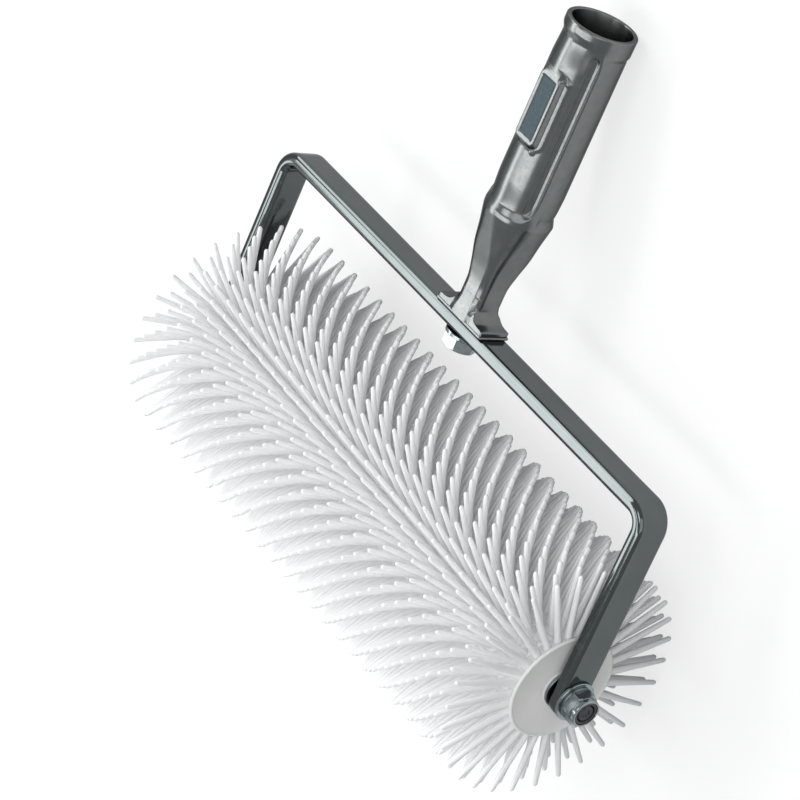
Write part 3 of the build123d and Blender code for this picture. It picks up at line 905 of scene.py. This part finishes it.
@dataclass
class SocketCasting:
    """Cast socket: foot, neck, shoulder, body with pad and channels, collar and bore.

    Heights are above the foot, which stands on the bow's bar. Angles run from the front,
    away from the floor, towards the near side.
    """

    foot_level: float = 87.7
    length: float = 133.9
    plate: tuple[float, float, float] = (16.3, 7.65, 1.1)
    wing_half_across: float = 7.2
    wing_heights: tuple = (1.1, 2.6, 2.9, 3.1, 3.5, 4.2, 5.2, 6.4, 8.0)
    wing_halves: tuple = (15.4, 15.4, 15.1, 12.6, 10.4, 9.0, 7.9, 6.95, 6.0)
    tongue: tuple[float, float, float] = (6.9, 8.1, 2.6)
    neck_half: float = 7.05
    neck_corner: float = 4.0
    neck_start: float = 9.5
    shoulder_level: float = 49.0
    shoulder_radius: float = 14.6
    rises: tuple = (0.0, 0.16, 0.37, 0.57, 0.78, 1.0)
    growths: tuple = (0.0, 0.01, 0.16, 0.42, 0.69, 1.0)
    roundnesses: tuple = (0.0, 0.03, 0.12, 0.42, 0.78, 1.0)
    body_radius: float = 14.05
    mouth_radius: float = 14.75
    mouth_round: float = 0.8
    bore_radius: float = 12.65
    bore_depth: float = 65.0
    floor_cone: float = 4.0
    channel_angle: float = 57.0
    channel_half_width: float = 1.95
    channel_ends: tuple[float, float] = (53.4, 124.9)
    channel_depth: float = 0.7
    track_angle: float = 69.0
    track_middle: float = 90.6
    track_half: float = 38.4
    track_corner: float = 11.0
    track_stretch: float = 2.2
    groove_depth: float = 0.45
    bead_height: float = 0.2
    blister_half: tuple[float, float] = (9.6, 17.0)
    blister_height: float = 0.3
    pad_middle: tuple[float, float] = (0.55, 96.6)
    pad_half: tuple[float, float] = (5.55, 14.25)
    pad_face: float = 15.3
    pad_slope: tuple[float, float] = (2.2, 3.4)
    panel_half: tuple[float, float] = (4.35, 12.9)
    panel_depth: float = 0.55
    lug_places: tuple = ((24.0, 79.6), (34.0, 111.0))
    lug_radius: float = 1.65
    lug_height: float = 0.3

    def angles(self) -> np.ndarray:
        """Angles round the handle, close together over the pad and the channels."""
        front = np.arange(-80.0, 81.0, 0.95)
        back = np.linspace(front[-1], 360.0 + front[0], 64)[1:-1]
        return np.radians(np.concatenate([front, back]))

    def neck_radius(self, heights: np.ndarray, angles: np.ndarray) -> np.ndarray:
        """Radius of foot, wings, tongue and neck.

        The neck is a rounded square that grows and rounds into a circle; a wing's half length
        falls along a curve; where they meet, the larger counts, blended softly.

        Args:
            heights: column of heights above the foot.
            angles: row of angles, in radians.

        Returns:
            The radius at each height and angle.
        """
        span = self.shoulder_level - self.neck_start
        rise = np.clip((heights - self.neck_start) / span, 0.0, 1.0)
        growth = smooth_curve(rise, np.array(self.rises), np.array(self.growths))
        roundness = smooth_curve(rise, np.array(self.rises), np.array(self.roundnesses))
        half = self.neck_half + growth * (self.shoulder_radius - self.neck_half)
        corner = self.neck_corner + roundness * (half - 0.01 - self.neck_corner)
        below = np.clip(1.0 - heights / self.neck_start, 0.0, 1.0)
        half_along = half + below * (self.tongue[0] - self.neck_half)
        half_across = half + below**1.5 * (self.tongue[1] - self.neck_half)
        corner = corner + below * (self.tongue[2] - self.neck_corner)
        neck = block_radius(angles, half_along, half_across, corner)
        reach = smooth_curve(heights, np.array(self.wing_heights), np.array(self.wing_halves))
        waist = self.wing_half_across - 1.4 * soft_step(heights, 4.0, 7.6)
        wing = block_radius(angles, reach, waist, 0.5 + 0.0 * reach)
        wing = np.where(heights > self.wing_heights[-1], 0.0, wing)
        blend = 0.9
        gap = np.clip(blend - np.abs(neck - wing), 0.0, None)
        return np.maximum(neck, wing) + gap**2 / (4.0 * blend)

    def back_profile(self, heights: np.ndarray) -> np.ndarray:
        """Radius of the back of the body, between its notch over the shoulder and the collar."""
        knots = np.array([49.0, 49.6, 52.9, 55.5, 62.0, 124.0, 124.4, 125.0, 126.4, 133.1])
        radii = np.array([14.6, 14.5, 13.42, 13.8, 14.1, 14.1, 13.88, 13.95, 14.62, 14.75])
        return np.interp(heights, knots, radii)

    def front_radius(self, heights: np.ndarray, angles: np.ndarray) -> np.ndarray:
        """Radius of the front of the body, sunk inside a lip in the shape of a racetrack.

        The signed distance to the lip's rounded rectangle, with the way round counted wider
        than it is, sets a slope from the rim down into a groove, which fades towards the
        middle; along the sides a thin bead runs on the lip.

        Args:
            heights: column of heights above the foot.
            angles: row of signed angles from the front, in radians.

        Returns:
            The radius.
        """
        way_round = self.track_stretch * self.body_radius * np.abs(angles)
        over = np.abs(heights - self.track_middle)
        half_round = self.track_stretch * self.body_radius * math.radians(self.track_angle)
        off_side = way_round - half_round + self.track_corner
        off_end = over - self.track_half + self.track_corner
        distance = np.hypot(np.maximum(off_side, 0.0), np.maximum(off_end, 0.0))
        distance = distance + np.minimum(np.maximum(off_side, off_end), 0.0) - self.track_corner
        groove = self.groove_depth * (1.0 - soft_step(-distance, 2.4, 13.0))
        at_end = soft_step(over, self.track_half - 5.0, self.track_half)
        rim = self.body_radius + 0.05 + at_end * 0.5
        bead = self.bead_height * (1.0 - at_end) * np.exp(-(((distance - 0.9) / 2.0) ** 2))
        outside = soft_step(distance, -2.4, 1.6)
        return (self.body_radius - groove) * (1.0 - outside) + rim * outside + bead

    def outer_radius(self, heights: np.ndarray, angles: np.ndarray) -> np.ndarray:
        """Radius of the outside from the foot plate to the rim.

        Args:
            heights: column of heights above the foot.
            angles: row of angles, in radians.

        Returns:
            The radius with pad, panel, lugs and channels on it.
        """
        neck = self.neck_radius(heights, angles)
        signed = (angles + math.pi) % (2.0 * math.pi) - math.pi
        back = soft_step(np.degrees(np.abs(signed)), 76.0, 86.0)
        front = self.front_radius(heights, signed)
        collar = soft_step(heights, self.track_middle + self.track_half - 0.5,
                           self.track_middle + self.track_half + 2.0)
        front = front + collar * (self.mouth_radius - self.body_radius - 0.55)
        body = front + back * (self.back_profile(heights) - front)
        upper = soft_step(heights, self.shoulder_level - 0.2, self.shoulder_level + 0.2)
        radius = neck + upper * (body - neck)
        radius = radius - self.channels(heights, angles)
        return self.pad(heights, signed, radius)

    def channels(self, heights: np.ndarray, angles: np.ndarray) -> np.ndarray:
        """Depth of the two long channels: a step on the distance from each one's middle line.

        Args:
            heights: heights over the foot, in millimetres.
            angles: angles round the body.

        Returns:
            The depth at each height and angle.
        """
        depth = 0.0 * heights * angles
        low, high = self.channel_ends
        half = self.channel_half_width
        for side in (1, -1):
            off = self.body_radius * (angles - side * math.radians(self.channel_angle))
            off = (off + math.pi * self.body_radius) % (2 * math.pi * self.body_radius)
            off = off - math.pi * self.body_radius
            past = np.maximum(low + half - heights, 0.0) + np.maximum(heights - high + half, 0.0)
            distance = np.hypot(off, past)
            inside = 1.0 - soft_step(distance, half - 0.45, half + 0.15)
            depth = depth + self.channel_depth * inside
        return depth

    def pad(self, heights: np.ndarray, angles: np.ndarray, radius: np.ndarray) -> np.ndarray:
        """Raise the soft blister, the flat pad with its sunk panel and the two small lugs.

        The pad's face is a plane in front: its radius is the plane's distance over the cosine
        of the angle. The distance from the pad's rounded rectangle blends it into the body.

        Args:
            heights: column of heights above the foot.
            angles: row of signed angles from the front, in radians.
            radius: the body's radius.

        Returns:
            The radius with the pad.
        """
        facing = np.cos(angles) > 0.5
        shifted = self.body_radius * angles + self.pad_middle[0]
        around = self.box_distance(shifted, heights + 0.0 * angles, self.blister_half, 4.5)
        blister = self.blister_height * (1.0 - soft_step(around, -1.3, 0.5))
        radius = radius + np.where(facing, blister, 0.0)
        plane = self.pad_face / np.maximum(np.cos(angles), 0.5)
        along = self.pad_face * np.tan(np.where(facing, angles, 0.0))
        edge = self.box_distance(along, heights, self.pad_half, 1.6)
        above = soft_step(heights, self.pad_middle[1] + self.pad_half[1] - 0.5,
                          self.pad_middle[1] + self.pad_half[1] + 0.5)
        slope = self.pad_slope[0] + above * (self.pad_slope[1] - self.pad_slope[0])
        raised = 1.0 - np.clip(edge / slope, 0.0, 1.0)
        raised = np.where(facing, soft_step(raised, 0.0, 1.0) * 0.35 + raised * 0.65, 0.0)
        inside = self.box_distance(along, heights, self.panel_half, 0.8)
        sunk = np.where(facing, 1.0 - soft_step(inside, -0.45, 0.12), 0.0)
        top = radius + raised * (plane - radius) - self.panel_depth * sunk
        for lug_angle, lug_level in self.lug_places:
            sideways = self.body_radius * (angles - math.radians(lug_angle))
            lug = np.hypot(sideways, heights - lug_level)
            rounded = 1.0 - soft_step(lug, self.lug_radius * 0.2, self.lug_radius)
            top = top + self.lug_height * rounded
        return top

    def box_distance(self, along: np.ndarray, heights: np.ndarray, half: tuple[float, float],
                     corner: float) -> np.ndarray:
        """Signed distance from a rounded rectangle on the pad, negative inside it."""
        across = np.abs(along - self.pad_middle[0]) - half[0] + corner
        over = np.abs(heights - self.pad_middle[1]) - half[1] + corner
        outside = np.hypot(np.maximum(across, 0.0), np.maximum(over, 0.0))
        return outside + np.minimum(np.maximum(across, over), 0.0) - corner

    def heights(self) -> np.ndarray:
        """Heights of the rings on the outside, close together where the shape changes fast."""
        return np.concatenate([
            np.arange(1.15, 2.6, 0.3), np.arange(2.6, 3.6, 0.08), np.arange(3.6, 12.0, 0.3),
            np.arange(12.0, 47.0, 0.9), np.arange(47.0, 57.0, 0.33), np.arange(57.0, 76.0, 0.8),
            np.arange(76.0, 86.0, 0.28), np.arange(86.0, 108.0, 0.7), np.arange(108.0, 116.0, 0.28),
            np.arange(116.0, 133.1, 0.3), [133.1]])

    def build(self, shop: Workshop) -> None:
        """Stack the rings: foot plate, outside, rim, bore and the bore's conical floor.

        Args:
            shop: the workshop that makes the pieces.
        """
        angles = self.angles()
        half_along, half_across, thick = self.plate
        rings = []
        for level, inset in ((0.0, 0.3), (0.3, 0.0), (thick - 0.3, 0.0), (thick, 0.25)):
            outline = block_radius(angles, np.full(1, half_along - inset),
                                   np.full(1, half_across - inset), np.full(1, 1.1))
            rings.append((level, outline))
        outside = self.heights()
        radii = self.outer_radius(outside[:, None], angles[None])
        turn = np.linspace(0.0, math.pi / 2, 7)[1:]
        rim_radius = self.mouth_radius - self.mouth_round * (1 - np.cos(turn))
        rim_level = self.length - self.mouth_round * (1 - np.sin(turn))
        floor = self.length - self.bore_depth
        bore = self.bore_radius
        inside = [(self.length, bore + 0.35), (self.length - 0.12, bore + 0.1),
                  (self.length - 0.4, bore), (self.length - 20.0, bore), (floor, bore),
                  (floor - self.floor_cone * 0.9, 1.2)]
        levels = [level for level, _ in rings] + list(outside) + list(rim_level)
        levels += [level for level, _ in inside]
        stack = [outline for _, outline in rings] + list(radii)
        stack += [np.full(len(angles), value) for value in rim_radius]
        stack += [np.full(len(angles), value) for _, value in inside]
        radius, height = np.array(stack), np.array(levels)[:, None]
        rows = np.stack([radius * np.sin(angles), -radius * np.cos(angles),
                         self.foot_level + height + 0.0 * angles], axis=-1)
        along = self.pad_face * np.tan(np.where(np.cos(angles) > 0.5, angles, 1.0))
        panel = self.box_distance(along[None], height, self.panel_half, 0.8) < -0.1
        outer = np.zeros(len(levels), dtype=bool)
        outer[len(rings):len(rings) + len(outside)] = True
        marks = (panel & outer[:, None] & (np.cos(angles) > 0.5)).astype(int)
        shop.piece("pole_socket", Surface.from_rows(rows, marks), [CAST_METAL, BARE_PANEL],
                   Body.FRAME, ["socket_handle"], sharp_angle=55.0)


@dataclass(frozen=True)
class Softbox:
    """A flat lamp that looks at the tool.

    Args:
        title: name of the lamp.
        towards: direction from the tool to the lamp.
        distance: its distance, in metres.
        size: its width and height, in metres.
        radiance: how bright its face is, where 1 is white paper in full light.
    """

    title: str
    towards: tuple[float, float, float]
    distance: float
    size: tuple[float, float]
    radiance: float

    def build(self) -> None:
        """Make the lamp: its power is its radiance times its area times pi."""
        light = bpy.data.lights.new(self.title, "AREA")
        light.shape = "RECTANGLE"
        light.size, light.size_y = self.size
        light.energy = self.radiance * self.size[0] * self.size[1] * math.pi
        lamp = bpy.data.objects.new(self.title, light)
        aim = Vector(self.towards).normalized()
        lamp.location = Vector((0.0, 0.0, 0.05)) + self.distance * aim
        lamp.rotation_euler = (-aim).to_track_quat("-Z", "Y").to_euler()
        lamp.visible_camera = False
        bpy.context.scene.collection.objects.link(lamp)


@dataclass(frozen=True)
class Studio:
    """Pale floor, even surroundings, softboxes and the photo's camera."""

    lamps: tuple[Softbox, ...] = (
        Softbox("window_softbox", (-0.635, 0.02, 0.77), 3.6, (4.0, 0.75), 5.0),
        Softbox("low_side_softbox", (-0.64, 0.63, 0.38), 4.0, (1.2, 2.6), 4.2),
        Softbox("ceiling_softbox", (-0.02, -0.17, 0.985), 4.0, (4.2, 0.7), 4.5),
        Softbox("top_softbox", (0.12, 0.42, 0.90), 4.0, (1.6, 1.1), 3.8),
        Softbox("back_softbox", (-0.60, -0.65, 0.46), 4.0, (2.4, 2.2), 0.8),
        Softbox("camera_side_softbox", (0.75, 0.36, 0.56), 4.8, (3.6, 3.6), 1.25),
    )
    surround: tuple[float, float, float] = (0.96, 0.98, 1.0)
    surround_level: float = 0.46
    floor_colour: tuple[float, float, float] = (0.27, 0.27, 0.27)
    floor_lift: float = 0.70
    floor_half: float = 12.0
    camera_place: tuple[float, float, float] = (0.98369478, 0.79590409, 0.92820713)
    camera_forward: tuple[float, float, float] = (-0.63456184, -0.53448855, -0.55825913)
    camera_right: tuple[float, float, float] = (0.52906223, 0.22614866, -0.8178936)
    camera_lens: float = 175.76
    sensor: float = 36.0

    def build(self) -> None:
        """Make the floor, the surroundings, the lamps and the camera."""
        self.floor()
        self.world()
        for lamp in self.lamps:
            lamp.build()
        self.camera()
        bpy.context.scene.view_settings.view_transform = "Standard"

    def floor(self) -> None:
        """Pale floor: a diffuse colour that keeps shadows, lifted for camera, mirror and glass."""
        half = self.floor_half
        mesh = bpy.data.meshes.new("studio_floor")
        corners = [(-half, -half, 0.0), (half, -half, 0.0), (half, half, 0.0), (-half, half, 0.0)]
        mesh.from_pydata(corners, [], [(0, 1, 2, 3)])
        floor = bpy.data.objects.new("studio_floor", mesh)
        bpy.context.scene.collection.objects.link(floor)
        material = bpy.data.materials.new("pale_floor")
        material.use_nodes = True
        nodes, links = material.node_tree.nodes, material.node_tree.links
        nodes.clear()
        diffuse = nodes.new("ShaderNodeBsdfDiffuse")
        diffuse.inputs["Color"].default_value = (*self.floor_colour, 1.0)
        lift = nodes.new("ShaderNodeEmission")
        lift.inputs["Strength"].default_value = self.floor_lift
        dark = nodes.new("ShaderNodeEmission")
        dark.inputs["Strength"].default_value = 0.0
        choice = nodes.new("ShaderNodeMixShader")
        links.new(self.seen(nodes, links), choice.inputs["Fac"])
        links.new(dark.outputs["Emission"], choice.inputs[1])
        links.new(lift.outputs["Emission"], choice.inputs[2])
        both = nodes.new("ShaderNodeAddShader")
        links.new(diffuse.outputs["BSDF"], both.inputs[0])
        links.new(choice.outputs["Shader"], both.inputs[1])
        out = nodes.new("ShaderNodeOutputMaterial")
        links.new(both.outputs["Shader"], out.inputs["Surface"])
        mesh.materials.append(material)

    @staticmethod
    def seen(nodes: "bpy.types.Nodes", links: "bpy.types.NodeLinks") -> bpy.types.NodeSocket:
        """1 for rays from the camera, off a mirror or through glass, else 0.

        Args:
            nodes: the material's nodes.
            links: the material's links.

        Returns:
            The socket that gives the number.
        """
        path = nodes.new("ShaderNodeLightPath")
        first = nodes.new("ShaderNodeMath")
        first.operation = "MAXIMUM"
        links.new(path.outputs["Is Camera Ray"], first.inputs[0])
        links.new(path.outputs["Is Glossy Ray"], first.inputs[1])
        second = nodes.new("ShaderNodeMath")
        second.operation = "MAXIMUM"
        links.new(first.outputs[0], second.inputs[0])
        links.new(path.outputs["Is Transmission Ray"], second.inputs[1])
        return second.outputs[0]

    def world(self) -> None:
        """Even grey surroundings."""
        world = bpy.data.worlds.new("even_surroundings")
        bpy.context.scene.world = world
        world.use_nodes = True
        background = world.node_tree.nodes["Background"]
        background.inputs["Color"].default_value = (*self.surround, 1.0)
        background.inputs["Strength"].default_value = self.surround_level

    def camera(self) -> None:
        """Camera at the photo's place, turned by its forward and right directions."""
        data = bpy.data.cameras.new("photo_camera")
        data.lens = self.camera_lens
        data.sensor_width = self.sensor
        camera = bpy.data.objects.new("photo_camera", data)
        forward, right = Vector(self.camera_forward), Vector(self.camera_right)
        above = right.cross(forward)
        turned = Matrix((right, above, -forward)).transposed().to_4x4()
        camera.matrix_world = Matrix.Translation(Vector(self.camera_place)) @ turned
        bpy.context.scene.collection.objects.link(camera)
        bpy.context.scene.camera = camera


def main() -> None:
    """Build the studio and every piece, and report what was made."""
    Studio().build()
    shop = Workshop(ToolAxes.from_record(frame["record"], frame["joints"]))
    SpikedRoller().build(shop)
    Fasteners().build(shop)
    Bow().build(shop)
    SocketCasting().build(shop)
    shop.dress("core_tube", TUBE_PLASTIC)
    shop.dress("axle_bush_near", BUSH_PLASTIC)
    shop.dress("axle_bush_far", BUSH_PLASTIC)
    log.info("%d pieces made", len(shop.made))


if __name__ == "__main__":
    main()
